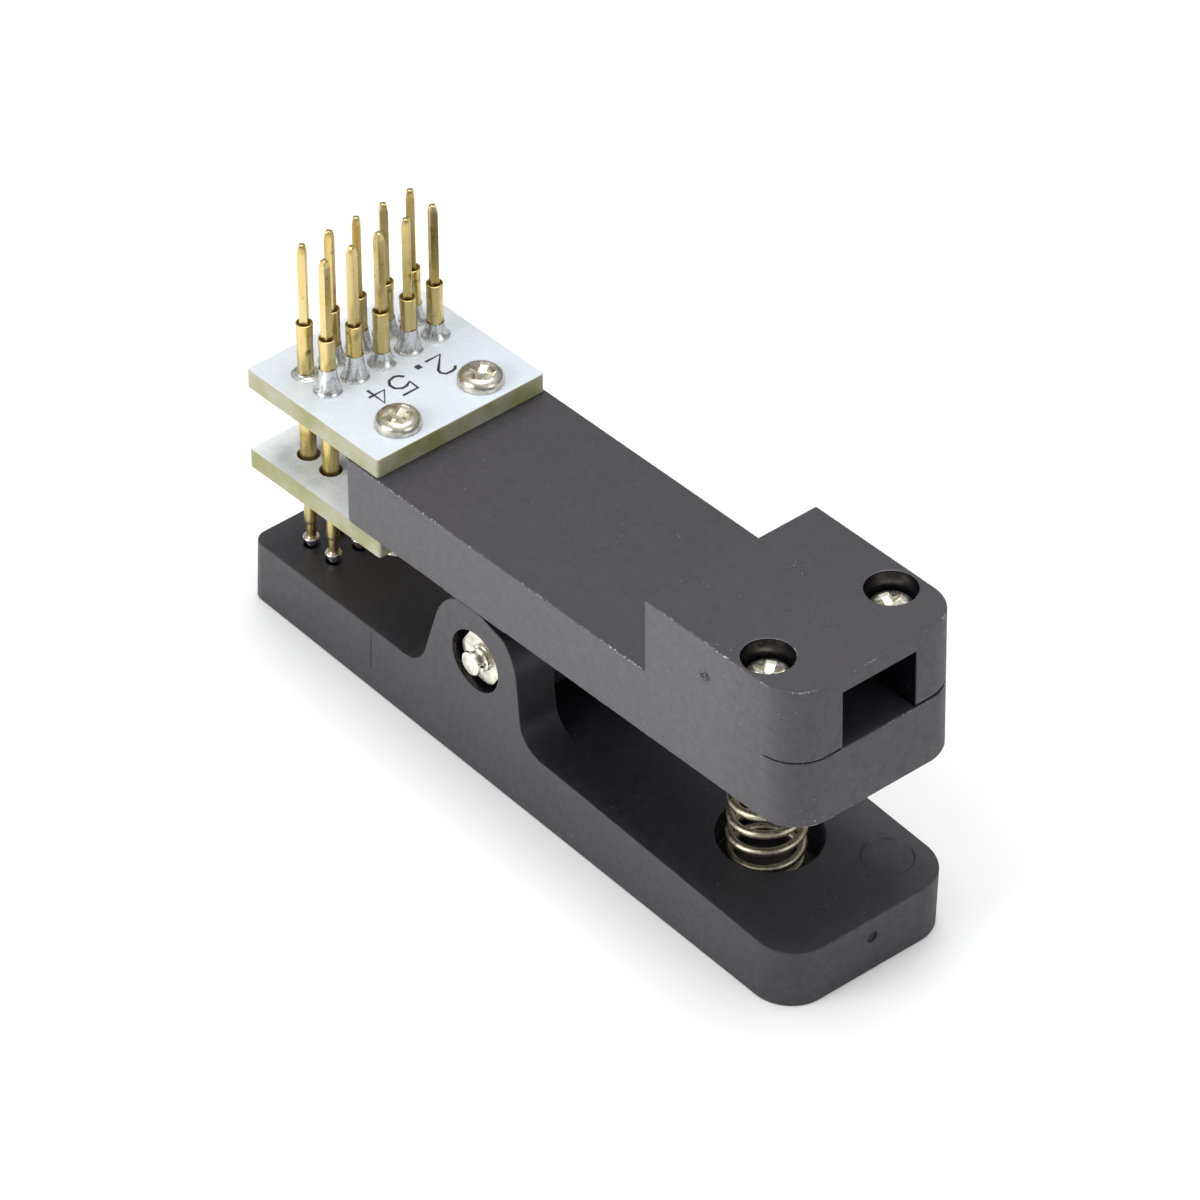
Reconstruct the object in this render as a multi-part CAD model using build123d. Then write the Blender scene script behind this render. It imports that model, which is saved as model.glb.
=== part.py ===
from build123d import *
import math
import os

# Pogo pin programming clip in millimetres, +Z up. The hinge axis crosses x = 0 and the lower
# lever's underside lies on z = 0. What rides on the upper lever is drawn in the lever's own
# frame, with the hinge axis at its origin, and placed by on_lever().

# Clamp
BODY_WIDTH = 16.1
PIVOT_HEIGHT = 10.3
REST_TILT = 3.2
JAW_CORNER_RADIUS = 1.2
HANDLE_CORNER_RADIUS = 3.2

# Lower lever, the top edge as points (x, z)
JAW_TIP = (-25.3, 5.29)
JAW_ROOT = (-8.6, 5.76)
HANDLE_ROOT = (9.5, 5.63)
HANDLE_TIP = (34.2, 5.0)

# Hinge ears and the upper lever's lug
EAR_CROWN_RADIUS = 4.55
EAR_CROWN_RISE = 0.47
EAR_TOP_CLEARANCE = 0.05
EAR_THICKNESS = 3.5
EAR_REAR_FOOT = -6.1
EAR_FRONT_FOOT = 5.35
EAR_ROOT_FILLET = 2.5
LUG_SIDE_CLEARANCE = 0.15
LUG_RADIUS = 4.2
LUG_FOOT = 5.2

# Hinge screw and nut, M2
SCREW_DIAMETER = 2.0
CLEARANCE_BORE = 2.1
THREAD_FIT = 0.03
PIVOT_SCREW_LENGTH = 14.0
PIVOT_HEAD_DIAMETER = 3.8
PIVOT_HEAD_HEIGHT = 1.6
COUNTERBORE_DIAMETER = 5.0
HEAD_COUNTERBORE_DEPTH = 2.6
NUT_COUNTERBORE_DEPTH = 2.25
NUT_FLATS = 4.0
NUT_HEIGHT = 1.6
NUT_CHAMFER = 0.25
SCREW_POINT_CHAMFER = 0.15

# Upper lever, in its own frame, and how far it opens
OPENING_ANGLE = 19.0
LEVER_REAR = -14.6
LEVER_UNDERSIDE = 4.6
LEVER_THICKNESS = 5.67
LEVER_REAR_RADIUS = 1.0

# Return spring and its pockets
SPRING_X = 23.15
SPRING_DIAMETER = 5.9
SPRING_WIRE = 0.6
SPRING_COILS = 9.6
SPRING_END_GAP = 0.05
POCKET_DIAMETER = 7.9
LOWER_POCKET_DEPTH = 2.6
UPPER_POCKET_DEPTH = 2.5

# Marks of the moulding
EJECTOR_MARK = (30.06, 5.04)
EJECTOR_DIAMETER = 4.0
EJECTOR_DEPTH = 0.12
GATE_DIAMETER = 0.9
GATE_DEPTH = 0.25
HANDLE_GATE_HEIGHT = 3.2

# Cable block, in the upper lever's frame
BLOCK_REAR = 18.6
BLOCK_HEIGHT = 6.35
BLOCK_REAR_RADIUS = 0.15
TUNNEL_SIDE_WALL = 4.61
TUNNEL_HEIGHT = 4.98
BLOCK_SCREW_X = 29.0
BLOCK_SCREW_INSET = 2.3
BLOCK_COUNTERBORE_DIAMETER = 3.9
BLOCK_HEAD_SINK = 1.25
BLOCK_SCREW_LENGTH = 8.0
BLOCK_PILOT_END_GAP = 0.6

# Pan heads of the block and board screws
PAN_DIAMETER = 3.5
PAN_HEIGHT = 0.95
PAN_EDGE_RADIUS = 0.55

# Circuit boards, in the upper lever's frame
BOARD_REAR = -25.5
BOARD_LENGTH = 14.8
BOARD_SIDE_INSET = 0.15
BOARD_THICKNESS = 1.6
BOARD_CORNER_RADIUS = 0.25
BOARD_SCREW_X = -13.09
BOARD_SCREW_Y = 3.9
BOARD_SCREW_LENGTH = 10.0

# Ten spring probes in two rows
PIN_PITCH = 2.54
PINS_PER_ROW = 5
ROW_A_X = -19.59
JAW_HOLE_DIAMETER = 1.2
JAW_HOLE_DEPTH = 1.5
TIP_GAP = 0.08

# Receptacle with its square post
SLEEVE_DIAMETER = 1.25
SLEEVE_BORE = 1.04
SLEEVE_TAIL = 0.4
SLEEVE_RISE = 4.69
SLEEVE_RECESS = 0.35
POST_SIDE = 0.64
POST_RISE = 11.65
POST_POINT_HEIGHT = 0.7
POST_POINT_SIDE = 0.3
POST_TURNS_A = (3, 15, 84, 48, 66)
POST_TURNS_B = (40, 32, 48, 60, 48)
UPPER_BOARD_HOLE = 1.4
LOWER_BOARD_HOLE = 1.7

# Solder joints, the low one where the joint is only a ring
SOLDER_DIAMETER = 2.2
SOLDER_TOP_DIAMETER = 1.4
SOLDER_HEIGHT = 1.7
SOLDER_RING_DIAMETER = 2.0
SOLDER_RING_HEIGHT = 0.35
SOLDER_FIT = 0.01
LOW_JOINT = ("b", 1)

# Probe: barrel, inner spring and plunger, in the upper lever's frame
BARREL_DIAMETER = 1.0
BARREL_BORE = 0.86
BARREL_HEAD_GAP = 1.25
BARREL_PLUG_GAP = 0.61
BARREL_MOUTH_BORE = 0.8
BARREL_MOUTH_LENGTH = 0.35
BARREL_LENGTH = 13.2
BARREL_CAP = 0.35
PLUNGER_SHAFT = 0.77
PLUNGER_TAIL = 0.83
PLUNGER_TAIL_LENGTH = 2.5
PRELOAD_STROKE = 1.4
HEAD_DIAMETER = 1.3
HEAD_RIM_HEIGHT = 0.34
HEAD_HEIGHT = 0.76
HEAD_CHAMFER = 0.1
CROWN_DIAMETER = 1.0
CROWN_DEPTH = 0.25
CROWN_NOTCH = 0.5
COIL_DIAMETER = 0.78
COIL_BORE = 0.54
COIL_END_GAP = 0.01

# Derived
HALF_WIDTH = BODY_WIDTH / 2
EAR_INNER = HALF_WIDTH - EAR_THICKNESS
LUG_WIDTH = 2 * (EAR_INNER - LUG_SIDE_CLEARANCE)
LEVER_TOP = LEVER_UNDERSIDE + LEVER_THICKNESS
LEVER_FRONT = HANDLE_TIP[0]
BLOCK_TOP = LEVER_TOP + BLOCK_HEIGHT
UPPER_BOARD_TOP = LEVER_TOP + BOARD_THICKNESS
LOWER_BOARD_UNDERSIDE = LEVER_UNDERSIDE - BOARD_THICKNESS
ROW_X = {"a": ROW_A_X, "b": ROW_A_X - PIN_PITCH}
POST_TURNS = {"a": POST_TURNS_A, "b": POST_TURNS_B}
PINS = [(row, column) for row in ROW_X for column in range(1, PINS_PER_ROW + 1)]
THREAD_BORE = SCREW_DIAMETER + 2 * THREAD_FIT
SLEEVE_BOTTOM = LOWER_BOARD_UNDERSIDE - SLEEVE_TAIL
SLEEVE_TOP = UPPER_BOARD_TOP + SLEEVE_RISE
POST_TOP = UPPER_BOARD_TOP + POST_RISE
BOARD_WIDTH = BODY_WIDTH - 2 * BOARD_SIDE_INSET
BLOCK_SCREW_Y = HALF_WIDTH - BLOCK_SCREW_INSET
TUNNEL_WIDTH = BODY_WIDTH - 2 * TUNNEL_SIDE_WALL
CUT = 2 * BODY_WIDTH


def on_lever(shape):
    return Pos(0, 0, PIVOT_HEIGHT) * Rot(0, -REST_TILT, 0) * shape


def pin_place(pin):
    row, column = pin
    middle = (PINS_PER_ROW + 1) / 2
    return ROW_X[row], (column - middle) * PIN_PITCH


def rod_z(diameter, bottom, top):
    rod = Cylinder(diameter / 2, top - bottom)
    return Pos(0, 0, (bottom + top) / 2) * rod


def rod_y(diameter, near, far):
    rod = Rot(90, 0, 0) * Cylinder(diameter / 2, far - near)
    return Pos(0, (near + far) / 2, 0) * rod


def side_solid(sketch, width):
    return extrude(Plane.XZ * sketch, amount=width / 2, both=True)


def rounded_block(rear, front, bottom, top, width, rear_radius, front_radius):
    block = Box(front - rear, width, top - bottom)
    block = Pos((rear + front) / 2, 0, (bottom + top) / 2) * block
    upright = block.edges().filter_by(Axis.Z).sort_by(Axis.X)
    block = fillet(upright[:2], rear_radius)
    upright = block.edges().filter_by(Axis.Z).sort_by(Axis.X)
    return fillet(upright[-2:], front_radius)


def height_on(x, start, end):
    share = (x - start[0]) / (end[0] - start[0])
    return start[1] + share * (end[1] - start[1])


def tangent_point(foot, centre_z, radius, side):
    rise = foot[1] - centre_z
    distance = math.hypot(foot[0], rise)
    angle = math.atan2(rise, foot[0]) + side * math.acos(radius / distance)
    return radius * math.cos(angle), centre_z + radius * math.sin(angle)


def jaw_top_at(x):
    return height_on(x, JAW_TIP, JAW_ROOT)


def seen_from_lever(point):
    x, z = point
    tilt = math.radians(REST_TILT)
    rise = z - PIVOT_HEIGHT
    along = x * math.cos(tilt) + rise * math.sin(tilt)
    return along, rise * math.cos(tilt) - x * math.sin(tilt)


def head_bottom(x):
    tip = seen_from_lever(JAW_TIP)
    root = seen_from_lever(JAW_ROOT)
    edges = (x - CROWN_DIAMETER / 2, x + CROWN_DIAMETER / 2)
    return TIP_GAP + max(height_on(edge, tip, root) for edge in edges)


def head_shoulder():
    return HEAD_HEIGHT + head_bottom(ROW_A_X)


def barrel_mouth():
    return head_shoulder() + BARREL_HEAD_GAP


def barrel_top():
    return barrel_mouth() + BARREL_LENGTH


def tail_bottom():
    return barrel_mouth() + BARREL_MOUTH_LENGTH + PRELOAD_STROKE


def handle_top_at(x):
    return height_on(x, HANDLE_ROOT, HANDLE_TIP)


def ear_side():
    rear = (EAR_REAR_FOOT, height_on(EAR_REAR_FOOT, JAW_ROOT, HANDLE_ROOT))
    front = (EAR_FRONT_FOOT, height_on(EAR_FRONT_FOOT, JAW_ROOT, HANDLE_ROOT))
    crown_z = PIVOT_HEIGHT + EAR_CROWN_RISE
    rear_tangent = tangent_point(rear, crown_z, EAR_CROWN_RADIUS, -1)
    front_tangent = tangent_point(front, crown_z, EAR_CROWN_RADIUS, 1)
    flanks = Polygon(rear, front, front_tangent, rear_tangent, align=None)
    crown = Pos(0, crown_z) * Circle(EAR_CROWN_RADIUS)
    strip = Polygon(
        (JAW_ROOT[0], 0), (HANDLE_ROOT[0], 0), HANDLE_ROOT, JAW_ROOT, align=None
    )
    side = flanks + crown + strip
    feet = [
        corner
        for corner in side.vertices()
        for foot in (rear, front)
        if math.hypot(corner.X - foot[0], corner.Y - foot[1]) < THREAD_FIT
    ]
    return fillet(feet, EAR_ROOT_FILLET) - opening_room()


def opening_room():
    room = []
    middle = LEVER_UNDERSIDE - EAR_TOP_CLEARANCE + CUT / 2
    for turn in (0, OPENING_ANGLE / 2, OPENING_ANGLE):
        swept = Rot(0, 0, REST_TILT - turn) * Pos(0, middle) * Rectangle(CUT, CUT)
        room.append(Pos(0, PIVOT_HEIGHT) * swept)
    return room


def hinge_ears():
    ears = side_solid(ear_side(), BODY_WIDTH)
    return ears - Pos(0, 0, PIVOT_HEIGHT) * Box(CUT, 2 * EAR_INNER, CUT)


def hinge_cuts():
    bore = rod_y(CLEARANCE_BORE, -CUT, CUT)
    nut_seat = rod_y(COUNTERBORE_DIAMETER, -CUT, NUT_COUNTERBORE_DEPTH - HALF_WIDTH)
    head_seat = rod_y(COUNTERBORE_DIAMETER, HALF_WIDTH - HEAD_COUNTERBORE_DEPTH, CUT)
    return Pos(0, 0, PIVOT_HEIGHT) * (bore + nut_seat + head_seat)


def jaw_holes():
    holes = []
    for pin in PINS:
        x, y = pin_place(pin)
        tip = on_lever(Pos(x, 0, head_bottom(x))).position
        top = jaw_top_at(tip.X)
        holes.append(Pos(tip.X, y, 0) * rod_z(JAW_HOLE_DIAMETER, top - JAW_HOLE_DEPTH, CUT))
    return holes


def lower_lever_side():
    return Polygon(
        (JAW_TIP[0], 0),
        (HANDLE_TIP[0], 0),
        HANDLE_TIP,
        HANDLE_ROOT,
        JAW_ROOT,
        JAW_TIP,
        align=None,
    )


def lower_lever():
    lever = side_solid(lower_lever_side(), BODY_WIDTH)
    lever &= rounded_block(
        JAW_TIP[0],
        HANDLE_TIP[0],
        0,
        CUT,
        BODY_WIDTH,
        JAW_CORNER_RADIUS,
        HANDLE_CORNER_RADIUS,
    )
    lever += hinge_ears()
    lever -= hinge_cuts()
    pocket_top = handle_top_at(SPRING_X)
    pocket = rod_z(POCKET_DIAMETER, pocket_top - LOWER_POCKET_DEPTH, PIVOT_HEIGHT)
    lever -= Pos(SPRING_X, 0, 0) * pocket
    mark_x, mark_y = EJECTOR_MARK
    mark = rod_z(EJECTOR_DIAMETER, handle_top_at(mark_x) - EJECTOR_DEPTH, PIVOT_HEIGHT)
    lever -= Pos(mark_x, mark_y, 0) * mark
    gate = Rot(0, 90, 0) * Cylinder(GATE_DIAMETER / 2, 2 * GATE_DEPTH)
    lever -= Pos(HANDLE_TIP[0], 0, HANDLE_GATE_HEIGHT) * gate
    for hole in jaw_holes():
        lever -= hole
    return lever


def lug():
    rear = (-LUG_FOOT, LEVER_UNDERSIDE)
    front = (LUG_FOOT, LEVER_UNDERSIDE)
    rear_tangent = tangent_point(rear, 0, LUG_RADIUS, 1)
    front_tangent = tangent_point(front, 0, LUG_RADIUS, -1)
    side = Polygon(rear, rear_tangent, front_tangent, front, align=None)
    side += Circle(LUG_RADIUS)
    return side_solid(side, LUG_WIDTH)


def mirrored_y(shape, distance):
    return [Pos(0, side * distance, 0) * shape for side in (-1, 1)]


def upper_pocket():
    offset = LEVER_UNDERSIDE + UPPER_POCKET_DEPTH
    tilt = math.radians(REST_TILT)
    x = (SPRING_X + offset * math.sin(tilt)) / math.cos(tilt)
    return Pos(x, 0, 0) * rod_z(POCKET_DIAMETER, 0, offset)


def upper_lever():
    lever = rounded_block(
        LEVER_REAR,
        LEVER_FRONT,
        LEVER_UNDERSIDE,
        LEVER_TOP,
        BODY_WIDTH,
        LEVER_REAR_RADIUS,
        HANDLE_CORNER_RADIUS,
    )
    lever += lug()
    lever -= rod_y(CLEARANCE_BORE, -CUT, CUT)
    lever -= upper_pocket()
    for hole in mirrored_y(rod_z(CLEARANCE_BORE, 0, CUT), BOARD_SCREW_Y):
        lever -= Pos(BOARD_SCREW_X, 0, 0) * hole
    pilot_bottom = block_head_seat() - BLOCK_SCREW_LENGTH - BLOCK_PILOT_END_GAP
    for hole in mirrored_y(rod_z(THREAD_BORE, pilot_bottom, CUT), BLOCK_SCREW_Y):
        lever -= Pos(BLOCK_SCREW_X, 0, 0) * hole
    return on_lever(lever)


def block_head_seat():
    return BLOCK_TOP - BLOCK_HEAD_SINK - PAN_HEIGHT


def cable_block():
    block = rounded_block(
        BLOCK_REAR,
        LEVER_FRONT,
        LEVER_TOP,
        BLOCK_TOP,
        BODY_WIDTH,
        BLOCK_REAR_RADIUS,
        HANDLE_CORNER_RADIUS,
    )
    tunnel = Box(CUT, TUNNEL_WIDTH, 2 * TUNNEL_HEIGHT)
    block -= Pos(LEVER_FRONT, 0, LEVER_TOP) * tunnel
    cut = rod_z(CLEARANCE_BORE, 0, CUT)
    cut += rod_z(BLOCK_COUNTERBORE_DIAMETER, block_head_seat(), CUT)
    for hole in mirrored_y(cut, BLOCK_SCREW_Y):
        block -= Pos(BLOCK_SCREW_X, 0, 0) * hole
    return on_lever(block)


def pan_screw(seat, length):
    head = rod_z(PAN_DIAMETER, seat, seat + PAN_HEIGHT)
    head = fillet(head.edges().sort_by(Axis.Z)[-1], PAN_EDGE_RADIUS)
    shank = rod_z(SCREW_DIAMETER, seat - length, seat)
    shank = chamfer(shank.edges().sort_by(Axis.Z)[0], SCREW_POINT_CHAMFER)
    return head + shank


def hex_nut():
    blank = extrude(RegularPolygon(NUT_FLATS / 2, 6, major_radius=False), NUT_HEIGHT)
    corners = Cone(
        NUT_FLATS / 2 + 2 * NUT_HEIGHT,
        NUT_FLATS / 2,
        2 * NUT_HEIGHT,
        align=(Align.CENTER, Align.CENTER, Align.MAX),
    )
    blank &= Pos(0, 0, NUT_HEIGHT + NUT_CHAMFER / 2) * corners
    return blank - rod_z(THREAD_BORE, -NUT_HEIGHT, 2 * NUT_HEIGHT)


def block_screws():
    screw = Pos(BLOCK_SCREW_X, 0, 0) * pan_screw(block_head_seat(), BLOCK_SCREW_LENGTH)
    return on_lever(Compound(mirrored_y(screw, BLOCK_SCREW_Y)))


def board_screws():
    screw = Pos(BOARD_SCREW_X, 0, 0) * pan_screw(UPPER_BOARD_TOP, BOARD_SCREW_LENGTH)
    return on_lever(Compound(mirrored_y(screw, BOARD_SCREW_Y)))


def board_nuts():
    nut = Pos(BOARD_SCREW_X, 0, LOWER_BOARD_UNDERSIDE) * Rot(180, 0, 0) * hex_nut()
    return on_lever(Compound(mirrored_y(nut, BOARD_SCREW_Y)))


def pivot_screw():
    seat = HALF_WIDTH - HEAD_COUNTERBORE_DEPTH
    head = rod_y(PIVOT_HEAD_DIAMETER, seat, seat + PIVOT_HEAD_HEIGHT)
    head = fillet(head.edges().sort_by(Axis.Y)[-1], PAN_EDGE_RADIUS)
    shank = rod_y(SCREW_DIAMETER, seat - PIVOT_SCREW_LENGTH, seat)
    shank = chamfer(shank.edges().sort_by(Axis.Y)[0], SCREW_POINT_CHAMFER)
    return Pos(0, 0, PIVOT_HEIGHT) * (head + shank)


def pivot_nut():
    seat = NUT_COUNTERBORE_DEPTH - HALF_WIDTH
    return Pos(0, seat, PIVOT_HEIGHT) * Rot(90, 0, 0) * hex_nut()


def return_spring():
    floor = handle_top_at(SPRING_X) - LOWER_POCKET_DEPTH
    tilt = math.radians(REST_TILT)
    ceiling = PIVOT_HEIGHT + SPRING_X * math.tan(tilt)
    ceiling += (LEVER_UNDERSIDE + UPPER_POCKET_DEPTH) / math.cos(tilt)
    ceiling -= SPRING_DIAMETER / 2 * math.tan(tilt) + SPRING_END_GAP
    radius = (SPRING_DIAMETER - SPRING_WIRE) / 2
    rise = ceiling - floor - SPRING_WIRE
    path = Helix(rise / SPRING_COILS, rise, radius)
    section = Plane(path @ 0, z_dir=path % 0) * Circle(SPRING_WIRE / 2)
    coil = sweep(section, path=path, is_frenet=True)
    return Pos(SPRING_X, 0, floor + SPRING_WIRE / 2) * coil


def board(underside, hole_diameter):
    plate = Box(BOARD_LENGTH, BOARD_WIDTH, BOARD_THICKNESS)
    middle = (BOARD_REAR + BOARD_LENGTH / 2, 0, underside + BOARD_THICKNESS / 2)
    plate = fillet(plate.edges().filter_by(Axis.Z), BOARD_CORNER_RADIUS)
    plate = Pos(*middle) * plate
    for hole in mirrored_y(rod_z(CLEARANCE_BORE, -CUT, CUT), BOARD_SCREW_Y):
        plate -= Pos(BOARD_SCREW_X, 0, 0) * hole
    for pin in PINS:
        plate -= Pos(*pin_place(pin), 0) * rod_z(hole_diameter, -CUT, CUT)
    return on_lever(plate)


def upper_board():
    return board(LEVER_TOP, UPPER_BOARD_HOLE)


def lower_board():
    return board(LOWER_BOARD_UNDERSIDE, LOWER_BOARD_HOLE)


def post(turn):
    height = POST_TOP - SLEEVE_TOP + SLEEVE_RECESS
    straight = height - POST_POINT_HEIGHT
    rod = extrude(Rectangle(POST_SIDE, POST_SIDE), straight)
    base = Pos(0, 0, straight) * Rectangle(POST_SIDE, POST_SIDE)
    end = Pos(0, 0, height) * Rectangle(POST_POINT_SIDE, POST_POINT_SIDE)
    point = loft([base.face(), end.face()])
    return Pos(0, 0, SLEEVE_TOP - SLEEVE_RECESS) * Rot(0, 0, turn) * (rod + point)


def receptacle(pin):
    row, column = pin
    sleeve = rod_z(SLEEVE_DIAMETER, SLEEVE_BOTTOM, SLEEVE_TOP)
    sleeve -= rod_z(SLEEVE_BORE, SLEEVE_TOP - SLEEVE_RECESS, SLEEVE_TOP)
    sleeve -= rod_z(SLEEVE_BORE, SLEEVE_BOTTOM, barrel_top() + BARREL_PLUG_GAP)
    sleeve += post(POST_TURNS[row][column - 1])
    return on_lever(Pos(*pin_place(pin), 0) * sleeve)


def solder_joint(pin):
    if pin == LOW_JOINT:
        joint = Cylinder(SOLDER_RING_DIAMETER / 2, SOLDER_RING_HEIGHT)
        height = SOLDER_RING_HEIGHT
    else:
        joint = Cone(SOLDER_DIAMETER / 2, SOLDER_TOP_DIAMETER / 2, SOLDER_HEIGHT)
        height = SOLDER_HEIGHT
    joint = Pos(0, 0, UPPER_BOARD_TOP + height / 2) * joint
    joint -= rod_z(SLEEVE_DIAMETER + 2 * SOLDER_FIT, 0, SLEEVE_TOP)
    return Pos(*pin_place(pin), 0) * joint


def solder_joints():
    return on_lever(Compound([solder_joint(pin) for pin in PINS]))


def probe_barrel(pin):
    barrel = rod_z(BARREL_DIAMETER, barrel_mouth(), barrel_top())
    mouth_top = barrel_mouth() + BARREL_MOUTH_LENGTH
    barrel -= rod_z(BARREL_MOUTH_BORE, barrel_mouth(), mouth_top)
    barrel -= rod_z(BARREL_BORE, mouth_top, barrel_top() - BARREL_CAP)
    return on_lever(Pos(*pin_place(pin), 0) * barrel)


def probe_spring(pin):
    bottom = tail_bottom() + PLUNGER_TAIL_LENGTH + COIL_END_GAP
    top = barrel_top() - BARREL_CAP - COIL_END_GAP
    coil = rod_z(COIL_DIAMETER, bottom, top) - rod_z(COIL_BORE, bottom, top)
    return on_lever(Pos(*pin_place(pin), 0) * coil)


def crown_notch(bottom):
    side = Polygon(
        (-CROWN_NOTCH / 2, bottom),
        (CROWN_NOTCH / 2, bottom),
        (0, bottom + CROWN_DEPTH),
        align=None,
    )
    return side_solid(side, CUT)


def plunger(pin):
    x, y = pin_place(pin)
    bottom = head_bottom(x)
    rim = rod_z(HEAD_DIAMETER, head_shoulder() - HEAD_RIM_HEIGHT, head_shoulder())
    rim = chamfer(rim.edges().filter_by(GeomType.CIRCLE), HEAD_CHAMFER)
    head = rim + rod_z(CROWN_DIAMETER, bottom, head_shoulder())
    notch = crown_notch(bottom)
    head -= notch
    head -= Rot(0, 0, 90) * notch
    shaft = rod_z(PLUNGER_SHAFT, head_shoulder(), tail_bottom())
    tail = rod_z(PLUNGER_TAIL, tail_bottom(), tail_bottom() + PLUNGER_TAIL_LENGTH)
    return on_lever(Pos(x, y, 0) * (head + shaft + tail))


def clip_nodes():
    nodes = {
        "lower_lever": lower_lever(),
        "upper_lever": upper_lever(),
        "cable_block": cable_block(),
        "block_screws": block_screws(),
        "upper_board": upper_board(),
        "lower_board": lower_board(),
        "board_screws": board_screws(),
        "board_nuts": board_nuts(),
        "pivot_screw": pivot_screw(),
        "pivot_nut": pivot_nut(),
        "return_spring": return_spring(),
        "solder_joints": solder_joints(),
    }
    for pin in PINS:
        tag = pin[0] + str(pin[1])
        nodes["receptacle_" + tag] = receptacle(pin)
        nodes["probe_barrel_" + tag] = probe_barrel(pin)
        nodes["probe_spring_" + tag] = probe_spring(pin)
        nodes["plunger_" + tag] = plunger(pin)
    return nodes


os.makedirs("parts", exist_ok=True)
for name, shape in clip_nodes().items():
    export_step(shape, "parts/" + name + ".step")
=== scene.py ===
from math import cos, pi, radians, sin

import bmesh
import bpy
from mathutils import Matrix, Vector, noise


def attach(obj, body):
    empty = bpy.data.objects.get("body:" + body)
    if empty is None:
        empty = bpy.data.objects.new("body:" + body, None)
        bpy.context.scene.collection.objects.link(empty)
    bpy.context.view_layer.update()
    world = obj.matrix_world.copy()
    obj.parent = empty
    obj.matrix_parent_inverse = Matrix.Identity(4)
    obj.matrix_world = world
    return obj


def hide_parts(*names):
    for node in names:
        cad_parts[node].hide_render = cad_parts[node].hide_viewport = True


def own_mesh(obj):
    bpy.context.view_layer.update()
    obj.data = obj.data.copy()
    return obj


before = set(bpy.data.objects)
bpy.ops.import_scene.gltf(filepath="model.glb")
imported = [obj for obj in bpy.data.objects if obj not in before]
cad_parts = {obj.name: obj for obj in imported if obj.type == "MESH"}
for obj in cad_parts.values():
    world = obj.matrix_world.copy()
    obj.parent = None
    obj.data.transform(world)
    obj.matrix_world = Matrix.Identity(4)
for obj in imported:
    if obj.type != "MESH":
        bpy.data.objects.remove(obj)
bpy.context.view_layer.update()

bl_info = {
    "name": "Pogo pin programming clip",
    "version": (1, 0, 0),
    "blender": (4, 5, 0),
    "location": "3D View > Sidebar > Clip",
    "description": "Dresses the packed clip with its finished pieces, materials and stage",
    "category": "Object",
}

MM = 0.001
PINS = [(row, column) for row in "ab" for column in range(1, 6)]
TAGS = [row + str(column) for row, column in PINS]


# Settings


def length(name, description, millimetres):
    return bpy.props.FloatProperty(
        name=name,
        description=description,
        default=millimetres * MM,
        unit="LENGTH",
        precision=5,
    )


def angle(name, description, degrees):
    return bpy.props.FloatProperty(
        name=name, description=description, default=radians(degrees), subtype="ANGLE"
    )


def strength(name, description, value):
    return bpy.props.FloatProperty(name=name, description=description, default=value, min=0.0)


def colour(name, description, value):
    return bpy.props.FloatVectorProperty(
        name=name,
        description=description,
        default=value,
        size=3,
        subtype="COLOR",
        min=0.0,
        max=1.0,
    )


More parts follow.
